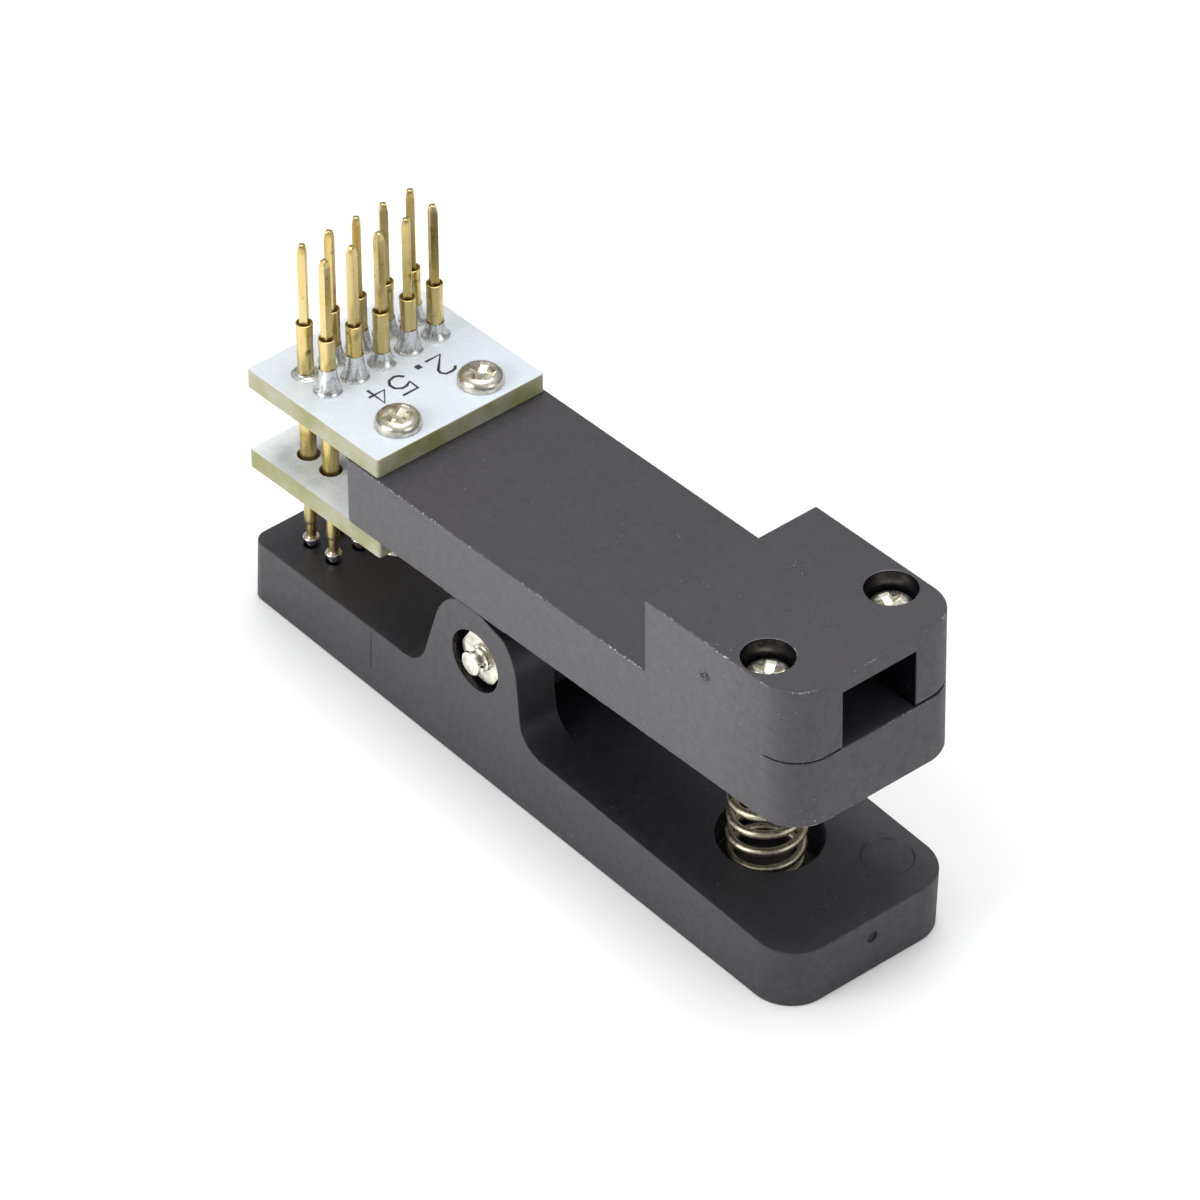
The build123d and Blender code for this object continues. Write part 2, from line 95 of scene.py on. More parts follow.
class ClipSizes(bpy.types.PropertyGroup):
    """Sizes and places of the dressed pieces"""

    pivot_height: length("Pivot height", "Hinge axis above the table", 10.3)
    rest_tilt: angle("Rest tilt", "How far the upper lever leans up at rest", 3.2)
    edge_round: length("Edge rounding", "Rounding of the moulded edges", 0.1)
    half_width: length("Half width", "Half the width of the mouldings", 8.05)
    lever_underside: length("Lever underside", "Upper lever's underside over the axis", 4.6)
    lever_top: length("Lever top", "Upper lever's top over the axis", 10.27)
    ear_seam: length("Ear seam", "Half the length where an ear meets the lever", 3.4)
    block_rear: length("Block rear", "Rear of the cable block along the lever", 18.6)
    seam_gap: length("Seam gap", "Dark gap under the front of the block", 0.18)
    seam_depth: length("Seam depth", "How deep that gap goes in", 0.3)
    seam_lean: angle("Seam lean", "How the gap widens away from the nut side", 0.6)
    corner_x: length("Corner place", "Where the front corners start along the lever", 31.0)
    gate_x: length("Gate place", "Broken gate on the block along the lever", 25.0)
    gate_z: length("Gate height", "Broken gate on the block over the axis", 13.67)
    block_screw_x: length("Block screw place", "Sunk screws along the lever", 29.0)
    block_screw_y: length("Block screw offset", "Sunk screws beside the middle", 5.75)
    block_screw_seat: length("Block screw seat", "Seat of the sunk heads over the axis", 14.42)
    block_shank: length("Block shank", "Length of the block screws under the head", 7.8)
    block_bore: length("Block bore", "Just inside the wall of a sunk hole", 1.97)
    tunnel_top: length("Tunnel top", "Roof of the cable tunnel over the axis", 15.27)
    tunnel_side: length("Tunnel side", "Half the width of the cable tunnel", 3.46)
    hinge_bore: length("Hinge bore", "Just inside the wall of a hinge seat", 2.52)
    hinge_seat: length("Hinge seat", "Seat of the hinge screw's head beside the middle", 5.45)
    hinge_reach: length("Hinge reach", "Length of the hinge screw under the head", 14.0)
    hinge_head_radius: length("Hinge head radius", "Radius of the hinge screw's head", 1.9)
    hinge_head_height: length("Hinge head height", "Height of the hinge screw's head", 1.6)
    nut_corner: length("Nut corner", "Rounding of the hinge nut's corners", 0.45)
    nut_edge: length("Nut edge", "Rounding of the nuts' edges", 0.05)
    ejector_x: length("Ejector mark place", "Ejector mark along the lower lever", 30.06)
    ejector_y: length("Ejector mark offset", "Ejector mark beside the middle", 5.04)
    ejector_radius: length("Ejector mark radius", "Radius of the ejector mark", 2.0)
    ejector_floor: length("Ejector mark floor", "Height of the mark's floor", 4.986)
    joint_x: length("Mould joint place", "Fine line on the near side of the jaw", -11.5)
    joint_z: length("Mould joint height", "Middle of that line", 3.6)
    plate_width: length("Plate width", "Mean width from which a face is shaded flat", 1.2)
    board_edge_round: length("Board edge rounding", "Rounding of the board edges", 0.04)
    board_top: length("Board top", "Top of the upper board over the hinge axis", 11.87)
    board_screw_x: length("Board screw place", "Board screws along the lever", -13.09)
    board_screw_y: length("Board screw offset", "Board screws beside the middle", 3.9)
    board_shank: length("Board shank", "Length of the board screws under the head", 9.8)
    print_width: length("Print stroke", "Width of the printed strokes", 0.24)
    print_height: length("Print thickness", "Thickness of the printed ink", 0.02)
    pin_pitch: length("Pin pitch", "Distance between probes, both ways", 2.54)
    row_a_x: length("Front row", "Front probe row along the upper lever", -19.59)
    sleeve_radius: length("Sleeve radius", "Outer radius of a receptacle", 0.625)
    sleeve_wall: length("Sleeve wall", "Wall of a receptacle at its rim", 0.1)
    sleeve_bottom: length("Sleeve bottom", "Lower end of a receptacle", 2.6)
    sleeve_top: length("Sleeve top", "Rim of a receptacle", 16.56)
    post_side: length("Post side", "Side of the square post", 0.64)
    post_top: length("Post top", "Top of the square post", 23.52)
    solder_radius: length("Solder radius", "Foot of a solder joint", 1.1)
    solder_height: length("Solder height", "Height of a solder joint", 1.7)
    barrel_radius: length("Barrel radius", "Outer radius of a probe barrel", 0.5)
    head_shoulder: length("Head shoulder", "Top of a plunger's head", -2.91)
    barrel_mouth: length("Barrel mouth", "Lower end of a probe barrel", -1.66)
    barrel_top: length("Barrel top", "Upper end of a probe barrel", 11.54)
    probe_coil_radius: length("Probe coil radius", "Mean radius of a probe spring", 0.33)
    probe_coil_wire: length("Probe coil wire", "Radius of a probe spring's wire", 0.05)
    probe_coil_pitch: length("Probe coil pitch", "Rise of a probe spring in a turn", 0.424)
    probe_coil_bottom: length("Probe coil bottom", "Lower end of a probe spring", 2.66)
    probe_coil_top: length("Probe coil top", "Upper end of a probe spring", 11.18)
    pan_radius: length("Pan head radius", "Radius of the pan heads", 1.75)
    pan_height: length("Pan head height", "Height of the pan heads", 0.95)
    shank_radius: length("Shank radius", "Nominal radius of the screws", 1.0)
    thread_pitch: length("Thread pitch", "Pitch of the screw threads", 0.4)
    spring_x: length("Spring place", "Return spring along the lower lever", 23.15)
    spring_floor: length("Spring floor", "Lower end of the return spring", 2.69)
    spring_top: length("Spring top", "Upper end of the return spring", 18.49)
    spring_radius: length("Spring radius", "Mean radius of the return spring", 2.65)
    spring_wire: length("Spring wire", "Radius of the return spring's wire", 0.32)
    spring_pitch: length("Spring pitch", "Rise of the return spring in a turn", 1.65)
    spring_play: length("Spring play", "Play in its pocket, half of it taken aside", 0.35)


class ClipFinish(bpy.types.PropertyGroup):
    """Colours of the finishes"""

    nylon: colour("Nylon", "Black moulded nylon", (0.0065, 0.0068, 0.0105))
    nylon_light: colour("Nylon mottling", "Lighter patches of the nylon", (0.0135, 0.013, 0.0165))
    # The bore colours are a darker copy of the nylon for the walls of the holes and the tunnel:
    # painted shade.
    bore: colour("Bores", "Nylon inside the holes and the tunnel", (0.003, 0.003, 0.004))
    bore_painted_shade_light: colour("Bore mottling", "Lighter patches in there", (0.007, 0.007, 0.009))
    speck: colour("Specks", "Dust and flash on the nylon", (0.32, 0.32, 0.32))
    # The lower board's mask is a much lighter copy of the upper board's: painted light that lifts the
    # shade the upper board casts on it.
    mask: colour("Solder mask", "White face of the upper board", (0.66, 0.71, 0.775))
    painted_light_lower_mask: colour("Lower mask", "White face of the lower board", (0.91, 0.94, 0.95))
    flux: colour("Flux", "Residue between the solder joints", (0.62, 0.665, 0.68))
    laminate: colour("Laminate", "Cut edge of the boards", (0.27, 0.275, 0.115))
    fibres: colour("Fibres", "Pale fibres in the cut edge", (0.42, 0.41, 0.33))
    ink: colour("Ink", "Printed marks on the boards", (0.02, 0.021, 0.027))
    gold: colour("Gold", "Plating of the receptacles", (0.58, 0.435, 0.125))
    pale_gold: colour("Pale gold", "Lighter streaks of the gold", (0.61, 0.51, 0.27))
    brown: colour("Brown", "Small burnt spots on the gold", (0.26, 0.17, 0.06))
    tarnish: colour("Tarnish", "Darker patches on the gold", (0.40, 0.30, 0.09))
    nickel: colour("Nickel", "Plating of the board screws", (0.71, 0.68, 0.57))
    # The sunk block screws take this lighter plating, painted light that lifts the shade of their
    # holes.
    bright: colour("Bright nickel", "Plating of the nuts and other screws", (0.92, 0.89, 0.76))
    tin: colour("Tin", "Solder joints", (0.70, 0.71, 0.71))
    probe_wire: colour("Probe wire", "Wire of the probe springs", (0.7, 0.68, 0.62))
    tip: colour("Probe tip", "Plating of the plungers", (0.88, 0.86, 0.82))
    coil: colour("Coil", "Drawn wire of the return spring", (0.38, 0.35, 0.26))


class StageSettings(bpy.types.PropertyGroup):
    """The floor, the light and the camera"""

    look_at: bpy.props.FloatVectorProperty(
        name="Look at",
        description="Point in the middle of the picture",
        default=(4.256 * MM, 0.0, 14.601 * MM),
        size=3,
        unit="LENGTH",
    )
    azimuth: angle("Azimuth", "Camera turn from the nut side", 47.731)
    elevation: angle("Elevation", "Camera height as an angle", 40.682)
    roll: angle("Roll", "Camera roll", 2.118)
    distance: length("Distance", "Camera distance from the point", 680.948)
    focal: bpy.props.FloatProperty(
        name="Focal length", description="Lens in millimetres", default=285.0, unit="CAMERA"
    )
    floor: colour("Floor", "Pale floor", (0.93, 0.93, 0.93))
    floor_glow: strength("Floor glow", "Light given by the floor itself", 0.05)
    front_glow: strength("Front glow", "Light given by the floor in front", 0.50)
    sky_top: strength("Sky overhead", "Strength of the even light overhead", 0.80)
    sky_side: strength("Sky low down", "Strength of the even light at the horizon", 0.05)


def sizes():
    return bpy.context.scene.clip_sizes


def finish():
    return bpy.context.scene.clip_finish


# Materials


class Recipe:
    """A node material under construction"""

    def __init__(self, name):
        self.material = bpy.data.materials.new(name)
        self.material.use_nodes = True
        self.tree = self.material.node_tree
        self.shader = self.tree.nodes["Principled BSDF"]
        coordinates = self.tree.nodes.new("ShaderNodeTexCoord")
        self.place = coordinates.outputs["Object"]

    def node(self, kind, **values):
        made = self.tree.nodes.new("ShaderNode" + kind)
        for key, value in values.items():
            setattr(made, key, value)
        return made

    def link(self, output, target):
        self.tree.links.new(output, target)

    def set(self, **values):
        for key, value in values.items():
            self.shader.inputs[key.replace("_", " ")].default_value = value

    def mapped(self, scale=(1, 1, 1), location=(0, 0, 0)):
        mapping = self.node("Mapping")
        mapping.inputs["Scale"].default_value = scale
        mapping.inputs["Location"].default_value = location
        self.link(self.place, mapping.inputs["Vector"])
        return mapping.outputs["Vector"]

    def axes(self, place=None):
        split = self.node("SeparateXYZ")
        self.link(place or self.place, split.inputs["Vector"])
        return split.outputs

    def noise(self, scale, detail=2.0, rough=0.5, place=None, distortion=0.0):
        made = self.node("TexNoise")
        made.inputs["Scale"].default_value = scale
        made.inputs["Detail"].default_value = detail
        made.inputs["Roughness"].default_value = rough
        made.inputs["Distortion"].default_value = distortion
        self.link(place or self.place, made.inputs["Vector"])
        return made.outputs["Fac"]

    def ramp(self, value, low, high, start=0.0, end=1.0):
        made = self.node("MapRange", clamp=True)
        made.inputs["From Min"].default_value = low
        made.inputs["From Max"].default_value = high
        made.inputs["To Min"].default_value = start
        made.inputs["To Max"].default_value = end
        self.link(value, made.inputs["Value"])
        return made.outputs["Result"]

    def maths(self, operation, first, second):
        made = self.node("Math", operation=operation)
        for socket, value in zip(made.inputs, (first, second)):
            if isinstance(value, (int, float)):
                socket.default_value = value
            else:
                self.link(value, socket)
        return made.outputs[0]

    def blend(self, factor, first, second):
        made = self.node("Mix", data_type="RGBA")
        self.link(factor, made.inputs[0])
        for socket, value in ((made.inputs[6], first), (made.inputs[7], second)):
            if isinstance(value, bpy.types.NodeSocket):
                self.link(value, socket)
            else:
                socket.default_value = (*value, 1.0)
        return made.outputs[2]

    def colour(self, factor, first, second):
        self.link(self.blend(factor, first, second), self.shader.inputs["Base Color"])

    def roughness(self, value, low, high, extra=None):
        rough = self.ramp(value, 0.3, 0.7, low, high)
        if extra is not None:
            rough = self.maths("ADD", rough, extra)
        self.link(rough, self.shader.inputs["Roughness"])

    def bump(self, height, strength, distance):
        made = self.node("Bump")
        made.inputs["Strength"].default_value = strength
        made.inputs["Distance"].default_value = distance
        self.link(height, made.inputs["Height"])
        previous = self.shader.inputs["Normal"].links
        if previous:
            self.link(previous[0].from_socket, made.inputs["Normal"])
        self.link(made.outputs["Normal"], self.shader.inputs["Normal"])


def scratch(recipe, place, reach):
    away = recipe.node("VectorMath", operation="LENGTH")
    recipe.link(recipe.mapped(location=[-value for value in place]), away.inputs[0])
    near = recipe.ramp(away.outputs["Value"], 0.5 * reach, reach, 1.0, 0.0)
    lines = recipe.noise(1500, 1.0, 0.5, distortion=2.5)
    ridge = recipe.maths("ABSOLUTE", recipe.maths("SUBTRACT", lines, 0.5), 0.0)
    return recipe.maths("MULTIPLY", near, recipe.ramp(ridge, 0.03, 0.08, 1.0, 0.0))


def witness_line(recipe, place):
    axes = recipe.axes(recipe.mapped(location=[-value for value in place]))
    aside, outside, level = [recipe.maths("ABSOLUTE", axes[letter], 0.0) for letter in "XYZ"]
    thin = recipe.ramp(aside, 0.02 * MM, 0.05 * MM, 1.0, 0.0)
    short = recipe.ramp(level, 1.6 * MM, 1.8 * MM, 1.0, 0.0)
    skin = recipe.ramp(outside, 0.05 * MM, 0.10 * MM, 1.0, 0.0)
    return recipe.maths("MULTIPLY", recipe.maths("MULTIPLY", thin, short), skin)


def moulded_nylon(name, speck_share, mark=None, line=None, gloss=1.0):
    recipe = Recipe(name)
    tones = finish()
    patches = recipe.ramp(recipe.noise(420, 3.0, 0.6), 0.35, 0.7)
    streaks = recipe.noise(1300, 2.0, 0.5, recipe.mapped(scale=(0.5, 0.5, 0.15)))
    mottling = recipe.maths("MULTIPLY", patches, recipe.ramp(streaks, 0.3, 0.7, 0.2, 1.0))
    grain = recipe.ramp(recipe.noise(3800, 2.0, 0.6), 0.35, 0.65)
    mottling = recipe.maths("MULTIPLY", mottling, grain)
    base = recipe.blend(mottling, tones.nylon, tones.nylon_light)
    dark = None
    if mark is not None:
        dark = scratch(recipe, mark, 0.75 * MM)
    if line is not None:
        dark = witness_line(recipe, line)
    recipe.set(Specular_IOR_Level=gloss, IOR=1.57, Specular_Tint=(0.98, 0.95, 1.0, 1.0))
    if dark is not None:
        shine = recipe.ramp(dark, 0.0, 1.0, gloss, 0.0)
        recipe.link(shine, recipe.shader.inputs["Specular IOR Level"])
    fine = recipe.ramp(recipe.noise(5200, 2.0, 0.6), 0.86 - speck_share, 0.90 - speck_share)
    where = recipe.ramp(recipe.noise(260, 2.0, 0.6), 0.42, 0.62)
    specks = recipe.maths("MULTIPLY", fine, where)
    recipe.colour(specks, base, tones.speck)
    handled = recipe.ramp(recipe.axes()["X"], 25 * MM, 33 * MM, 0.0, 0.15)
    recipe.roughness(recipe.noise(1500, 3.0, 0.6), 0.42, 0.55, handled)
    recipe.bump(recipe.noise(6500, 3.0, 0.7), 0.25, 0.02 * MM)
    recipe.bump(recipe.noise(700, 2.0, 0.5), 0.12, 0.05 * MM)
    return recipe.material


def painted_shade_bore_nylon():
    # Darker nylon for the walls of the holes and the tunnel: painted shade.
    recipe = Recipe("painted_shade_bore_nylon")
    tones = finish()
    recipe.colour(recipe.noise(1800, 2.0), tones.bore, tones.bore_painted_shade_light)
    recipe.roughness(recipe.noise(1500, 2.0), 0.2, 0.34)
    recipe.bump(recipe.noise(600, 1.0, 0.5, recipe.mapped(scale=(1.0, 1.0, 0.2))), 0.08, 0.04 * MM)
    return recipe.material


def solder_mask(name, tone):
    recipe = Recipe(name)
    tones = finish()
    place = sizes()
    middle = place.row_a_x - place.pin_pitch / 2 - 0.5 * MM
    beside = recipe.axes(recipe.mapped(location=(-middle, 0, 0)))["X"]
    reach = recipe.maths("ABSOLUTE", beside, 0.0)
    wobble = recipe.maths("MULTIPLY", recipe.noise(900, 2.0), 2.2 * MM)
    near = recipe.ramp(recipe.maths("ADD", reach, wobble), 3.0 * MM, 4.4 * MM, 1.0, 0.0)
    patches = recipe.ramp(recipe.noise(700, 3.0), 0.3, 0.7, 0.3, 1.0)
    residue = recipe.maths("MULTIPLY", near, patches)
    recipe.colour(residue, tone, tones.flux)
    recipe.roughness(recipe.noise(900, 2.0), 0.22, 0.34)
    recipe.set(Specular_IOR_Level=0.5, Coat_Weight=0.3, Coat_Roughness=0.12)
    recipe.bump(recipe.noise(1500, 2.0), 0.1, 0.02 * MM)
    return recipe.material


def laminate_edge():
    recipe = Recipe("laminate_edge")
    tones = finish()
    fibres = recipe.noise(1200, 3.0, 0.7, recipe.mapped(scale=(0.6, 0.6, 6.0)))
    patches = recipe.ramp(recipe.noise(260, 3.0, 0.6), 0.36, 0.62)
    shade = recipe.maths("MULTIPLY", patches, recipe.ramp(fibres, 0.3, 0.7, 0.6, 1.0))
    recipe.colour(shade, tones.laminate, tones.fibres)
    recipe.roughness(recipe.noise(4000), 0.5, 0.75)
    recipe.set(Subsurface_Weight=0.3, Subsurface_Scale=0.8 * MM)
    recipe.bump(fibres, 0.3, 0.04 * MM)
    return recipe.material


def printed_ink():
    recipe = Recipe("printed_ink")
    tones = finish()
    faded = [4.0 * channel for channel in tones.ink]
    recipe.colour(recipe.ramp(recipe.noise(9000, 2.0), 0.5, 0.75), tones.ink, faded)
    recipe.roughness(recipe.noise(5000), 0.4, 0.6)
    return recipe.material


def gold_plating():
    recipe = Recipe("gold_plating")
    tones = finish()
    drawn = recipe.noise(2600, 3.0, 0.6, recipe.mapped(scale=(1.0, 1.0, 0.12)))
    stains = recipe.ramp(recipe.noise(620, 4.0, 0.65), 0.56, 0.74)
    base = recipe.blend(recipe.ramp(drawn, 0.35, 0.65), tones.gold, tones.pale_gold)
    spots = recipe.ramp(recipe.noise(1000, 1.0), 0.69, 0.78)
    stained = recipe.blend(stains, base, tones.tarnish)
    recipe.colour(spots, stained, tones.brown)
    recipe.set(Metallic=0.96)
    recipe.roughness(drawn, 0.24, 0.36, recipe.maths("MULTIPLY", stains, 0.12))
    recipe.bump(drawn, 0.12, 0.02 * MM)
    return recipe.material


def nickel_plating(name, tone, low, high, uneven=0.18):
    recipe = Recipe(name)
    dull = [0.62 * channel for channel in tone]
    patches = recipe.ramp(recipe.noise(1400, 4.0, 0.6), 0.42, 0.68)
    recipe.colour(patches, tone, dull)
    recipe.set(Metallic=1.0)
    recipe.roughness(recipe.noise(3600, 3.0, 0.6), low, high)
    recipe.bump(recipe.noise(2800, 3.0, 0.6), uneven, 0.03 * MM)
    return recipe.material


def soft_solder():
    recipe = Recipe("soft_solder")
    tones = finish()
    streaks = recipe.noise(2400, 4.0, 0.6, recipe.mapped(scale=(1.0, 1.0, 0.25)), 1.2)
    # The darker streaks in the tin's colour stand in for streaky reflections: painted reflection.
    dark = [0.42 * channel for channel in tones.tin]
    recipe.colour(recipe.ramp(streaks, 0.5, 0.7), tones.tin, dark)
    recipe.set(Metallic=0.85)
    recipe.roughness(recipe.noise(3000), 0.2, 0.32)
    recipe.bump(streaks, 0.15, 0.03 * MM)
    return recipe.material


def spring_wire_finish():
    recipe = Recipe("spring_wire")
    tones = finish()
    drawn = recipe.noise(3200, 3.0, 0.6)
    bright = [min(1.0, 1.7 * channel) for channel in tones.coil]
    recipe.colour(recipe.ramp(drawn, 0.4, 0.7), tones.coil, bright)
    recipe.set(Metallic=1.0)
    recipe.roughness(drawn, 0.3, 0.44)
    recipe.bump(drawn, 0.12, 0.02 * MM)
    return recipe.material


# Making pieces


def on_lever():
    place = sizes()
    raised = Matrix.Translation((0, 0, place.pivot_height))
    return raised @ Matrix.Rotation(-place.rest_tilt, 4, "Y")


def pin_place(pin, height=0.0):
    row, column = pin
    place = sizes()
    x = place.row_a_x - place.pin_pitch * "ab".index(row)
    return Vector((x, (column - 3) * place.pin_pitch, height))


def finished(name, bm, materials, body, nodes, smooth=32.0, weighted=False):
    # Wide faces are shaded flat, and the narrow ones of a rounding or a curve smooth.
    mesh = bpy.data.meshes.new(name)
    for face in bm.faces:
        longest = max(edge.calc_length() for edge in face.edges)
        face.smooth = face.calc_area() < sizes().plate_width * longest
    for edge in bm.edges:
        shaded = [face.smooth for face in edge.link_faces]
        limit = smooth if len(set(shaded)) == 1 else 6.0
        edge.smooth = len(shaded) == 2 and edge.calc_face_angle(0.0) < radians(limit)
    bm.to_mesh(mesh)
    bm.free()
    for material in materials:
        mesh.materials.append(material)
    piece = bpy.data.objects.new(name, mesh)
    bpy.context.scene.collection.objects.link(piece)
    if weighted:
        modifier = piece.modifiers.new("Weighted normals", "WEIGHTED_NORMAL")
        modifier.keep_sharp = True
        modifier.weight = 80
    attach(piece, body)
    if nodes:
        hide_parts(*nodes)
    return piece


def merged_copy(node):
    bm = bmesh.new()
    bm.from_mesh(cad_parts[node].data)
    for old in bm.faces:
        old.material_index = 0
    bmesh.ops.remove_doubles(bm, verts=bm.verts, dist=0.0005 * MM)
    bmesh.ops.dissolve_limit(
        bm, angle_limit=radians(0.5), verts=bm.verts, edges=bm.edges, use_dissolve_boundaries=False
    )
    return bm


def split_at(bm, point, normal):
    bmesh.ops.bisect_plane(
        bm,
        geom=bm.verts[:] + bm.edges[:] + bm.faces[:],
        dist=0.0002 * MM,
        plane_co=point,
        plane_no=normal,
    )


def bevelled(bm, edges, width, segments, clamp):
    made = bmesh.ops.bevel(
        bm,
        geom=edges,
        offset=width,
        offset_type="OFFSET",
        segments=segments,
        profile=0.5,
        affect="EDGES",
        clamp_overlap=clamp,
        material=-1,
    )
    return made["faces"]


def roomy(edge, width):
    return all(face.calc_area() > 2.2 * width * edge.calc_length() for face in edge.link_faces)


def rounded(bm, width, wanted=lambda edge: True, segments=2, clamp=False):
    sharp = [
        edge
        for edge in bm.edges
        if len(edge.link_faces) == 2
        and edge.calc_face_angle(0.0) > radians(30)
        and roomy(edge, width)
        and wanted(edge)
    ]
    return bevelled(bm, sharp, width, segments, clamp)


def drawn_line(bm, profile):
    points = [bm.verts.new((radius, 0, height)) for radius, height in profile]
    return points + [bm.edges.new(pair) for pair in zip(points, points[1:])]


def wound(bm, geometry, sweep, steps, rise=0.0):
    made = bmesh.ops.spin(
        bm,
        geom=geometry,
        axis=(0, 0, 1),
        cent=(0, 0, 0),
        dvec=(0, 0, rise),
        angle=sweep,
        steps=steps,
        use_merge=rise == 0.0,
    )
    return made["geom_last"]


def spun(profile, steps):
    bm = bmesh.new()
    wound(bm, drawn_line(bm, profile), 2 * pi, steps)
    bmesh.ops.remove_doubles(bm, verts=bm.verts, dist=0.0005 * MM)
    bmesh.ops.recalc_face_normals(bm, faces=bm.faces)
    return bm


def helical(bm, geometry, turns, pitch, steps):
    count = max(1, round(turns * steps))
    return wound(bm, geometry, 2 * pi * count / steps, count, pitch / steps)


def turned(bm, matrix):
    bmesh.ops.transform(bm, matrix=matrix, verts=bm.verts)
    return bm


def joined(target, source):
    mesh = bpy.data.meshes.new("part_of_piece")
    source.to_mesh(mesh)
    source.free()
    target.from_mesh(mesh)
    bpy.data.meshes.remove(mesh)
    return target


class ClipOperator:
    """What the piece operators share"""

    bl_options = {"REGISTER", "UNDO"}

    def execute(self, context):
        self.make()
        return {"FINISHED"}


# Mouldings


class CLIP_OT_mouldings(ClipOperator, bpy.types.Operator):
    """Dress both levers and the cable block in mottled black nylon with rounded edges"""

    bl_idname = "clip.mouldings"
    bl_label = "Mouldings"

    def make(self):
        place = sizes()
        smooth = moulded_nylon("moulded_nylon", 0.15)
        edge = moulded_nylon("worn_nylon_edge", 0.3)
        joint = (place.joint_x, -place.half_width, place.joint_z)
        # The lower lever's copy reflects less than the upper lever's, so it reads darker: painted
        # shade.
        lined = moulded_nylon("lined_nylon", 0.15, line=joint, gloss=0.76)
        gate = on_lever() @ Vector((place.gate_x, -place.half_width, place.gate_z))
        marked = moulded_nylon("gated_nylon", 0.15, gate)
        bore = painted_shade_bore_nylon()
        rows = (
            ("jaw_lever_moulding", "lower_lever", "base", lined, lined),
            ("arm_lever_moulding", "upper_lever", "arm", smooth, edge),
            ("cable_block_moulding", "cable_block", "arm", marked, edge),
        )
        for name, node, body, broad, narrow in rows:
            bm = merged_copy(node)
            along = on_lever().to_3x3() @ Vector((1, 0, 0))
            for x in (-place.ear_seam, place.ear_seam, place.block_rear):
                split_at(bm, on_lever() @ Vector((x, 0, 0)), along)
            bmesh.ops.remove_doubles(bm, verts=bm.verts, dist=0.01 * MM)
            if node == "cable_block":
                self.open_seam(bm, place)
            if node == "lower_lever":
                self.slope_ejector_mark(bm, place)
            for face in rounded(bm, place.edge_round, self.exposed):
                face.material_index = 1
            self.paint_shade_in_bores(bm, place, node)
            finished(name, bm, (broad, narrow, bore), body, (node,), weighted=True)

    def slope_ejector_mark(self, bm, place):
        middle = Vector((place.ejector_x, place.ejector_y))
        narrowed = 0.94
        for vert in bm.verts:
            away = vert.co.xy - middle
            sunk = abs(vert.co.z - place.ejector_floor) < 0.01 * MM
            if sunk and away.length < place.ejector_radius + 0.02 * MM:
                vert.co.xy = middle + away * narrowed

    def exposed(self, edge):
        place = sizes()
        ends = [on_lever().inverted() @ vert.co for vert in edge.verts]
        tight = 0.02 * MM
        over_ear = all(abs(end.x) < place.ear_seam + tight for end in ends)
        at_ear = all(abs(end.z - place.lever_underside) < 0.25 * MM for end in ends)
        at_block = all(abs(end.z - place.lever_top) < place.seam_gap + tight for end in ends)
        outside = all(abs(end.y) > place.half_width - tight for end in ends)
        beside = all(end.x > place.block_rear - tight for end in ends)
        return not (over_ear and at_ear) and not (at_block and outside and beside)

    def paint_shade_in_bores(self, bm, place, node):
        inverse = on_lever().inverted()
        for face in bm.faces:
            middle = inverse @ face.calc_center_median()
            screw = Vector((middle.x - place.block_screw_x, abs(middle.y) - place.block_screw_y))
            sunk = node == "cable_block" and screw.length < place.block_bore
            level = abs((inverse.to_3x3() @ face.normal).x) < 0.3
            inside = middle.z < place.tunnel_top and abs(middle.y) < place.tunnel_side
            tunnel = node == "cable_block" and level and inside
            hinge = node == "lower_lever" and middle.xz.length < place.hinge_bore
            deep = abs(middle.y) < place.half_width - 0.02 * MM
            # Faces in the sunk holes, the cable tunnel and the hinge bore take the darker nylon:
            # painted shade.
            if sunk or tunnel or (hinge and deep):
                face.material_index = 2

    def open_seam(self, bm, place):
        level = Vector((0, 0, place.lever_top + place.seam_gap))
        lean = Vector((0, -sin(place.seam_lean), cos(place.seam_lean)))
        split_at(bm, on_lever() @ level, on_lever().to_3x3() @ lean)
        bm.normal_update()
        inverse = on_lever().inverted()
        seam = []
        for face in bm.faces:
            middle = inverse @ face.calc_center_median()
            forward = (inverse.to_3x3() @ face.normal).x > 0.02
            low = (middle - level).dot(lean) < 0
            if forward and low and middle.x > place.corner_x:
                seam.append(face)
        sunk = -place.seam_depth
        bmesh.ops.inset_region(bm, faces=seam, thickness=0.0, depth=sunk, use_even_offset=True)


# Boards


# Strokes and the point of the pitch number, in millimetres across and along the board
STROKES = (
    ((-3.69, -15.72), (-3.44, -15.44), (-3.07, -15.38), (-2.58, -15.40), (-2.32, -15.75),
     (-2.41, -16.12), (-3.75, -17.50), (-2.34, -17.50)),
    ((1.46, -15.48), (0.04, -15.48), (0.01, -16.46), (0.50, -16.20), (0.95, -16.18),
     (1.37, -16.53), (1.40, -17.05), (1.10, -17.50), (0.51, -17.64), (0.20, -17.50), (-0.06, -17.15)),
    ((3.02, -17.65), (3.02, -15.66), (2.04, -16.90), (3.50, -16.90)),
)
POINT = (-1.56, -17.36, 0.46)


class CLIP_OT_boards(ClipOperator, bpy.types.Operator):
    """Make both circuit boards with white faces and pale laminate edges"""

    bl_idname = "clip.boards"
    bl_label = "Circuit boards"

    def make(self):
        place = sizes()
        edge = laminate_edge()
        # The lower board takes the lighter copy of the mask: painted light in the upper board's
        # shade.
        upper = solder_mask("white_solder_mask", tuple(finish().mask))
        lower = solder_mask("painted_light_lower_solder_mask", tuple(finish().painted_light_lower_mask))
        up = on_lever().to_3x3() @ Vector((0, 0, 1))
        for node, mask in (("upper_board", upper), ("lower_board", lower)):
            bm = merged_copy(node)
            rounded(bm, place.board_edge_round, segments=1)
            for face in bm.faces:
                face.material_index = 0 if abs(face.normal.dot(up)) > 0.9 else 1
            finished(node + "_dressed", bm, (mask, edge), "arm", (node,), weighted=True)


